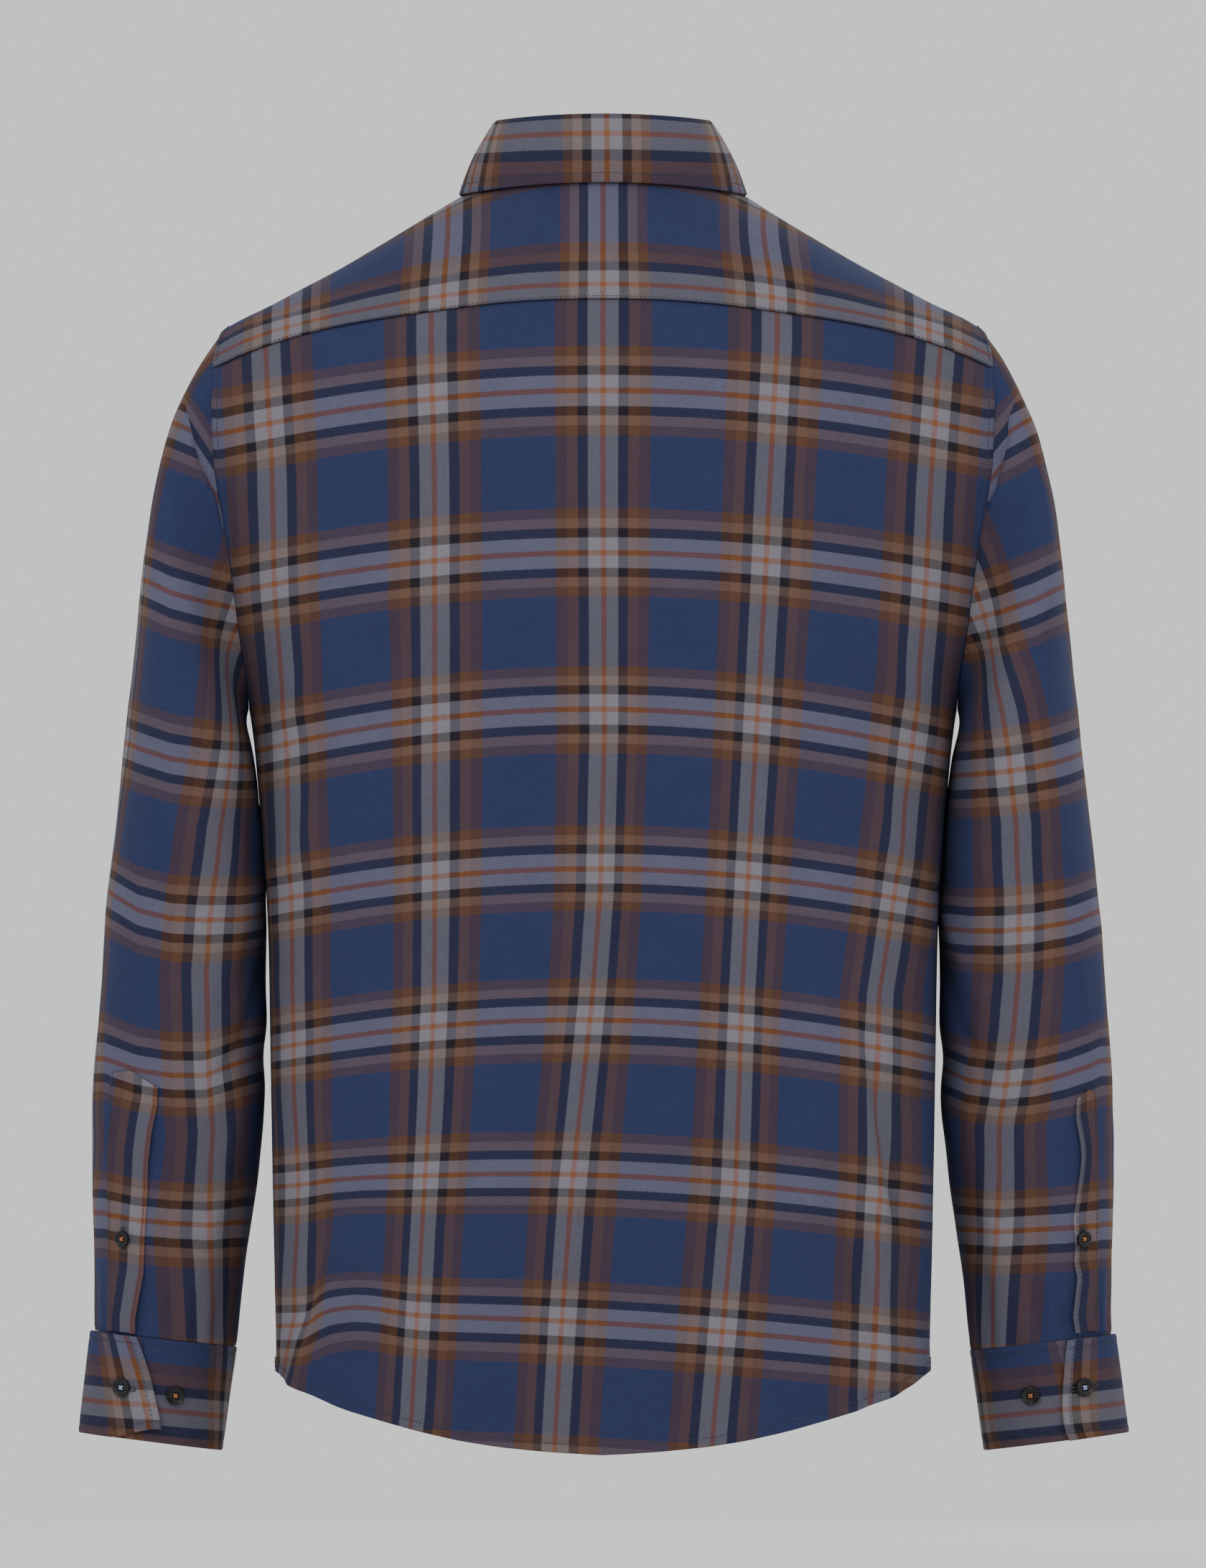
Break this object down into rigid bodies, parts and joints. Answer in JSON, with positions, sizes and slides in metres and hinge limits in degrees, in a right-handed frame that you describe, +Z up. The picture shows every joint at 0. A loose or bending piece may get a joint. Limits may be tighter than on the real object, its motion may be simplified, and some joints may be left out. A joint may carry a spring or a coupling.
{
  "type": "long-sleeved flannel shirt",
  "caption": "Long-sleeved button-front flannel shirt in a woven check, filled out as worn, with folded collar, back yoke, buttoned cuffs and a curved shirt-tail hem.",
  "frame": {"origin": "centre of the neck opening, level with the collar seam at the back of the neck, where the wearer's neck passes and the shoulders carry the shirt", "axes": "+Z up, -Y the way the buttoned front faces, +X towards the wearer's left"},
  "size_m": [0.634, 0.2433, 0.8052],
  "materials": {
    "flannel": "soft brushed cotton flannel in a herringbone twill, woven in a blue, navy, brown, grey and orange check",
    "button": "dark polished four-hole shirt button with a raised rim"
  },
  "bodies": {
    "root": {"back": "flannel", "yoke": "flannel", "front_left": "flannel", "front_right": "flannel", "button_band": "flannel", "collar_stand": "flannel", "collar_leaf": "flannel", "sleeve_left": "flannel", "sleeve_right": "flannel", "cuff_left": "flannel", "cuff_right": "flannel", "sleeve_band_left": "flannel", "sleeve_band_right": "flannel", "collar_button": "button", "front_button_1": "button", "front_button_2": "button", "front_button_3": "button", "front_button_4": "button", "front_button_5": "button", "front_button_6": "button", "front_button_7": "button", "cuff_button_fastened_left": "button", "cuff_button_spare_left": "button", "cuff_button_fastened_right": "button", "cuff_button_spare_right": "button", "band_button_left": "button", "band_button_right": "button"}
  },
  "joints": []
}
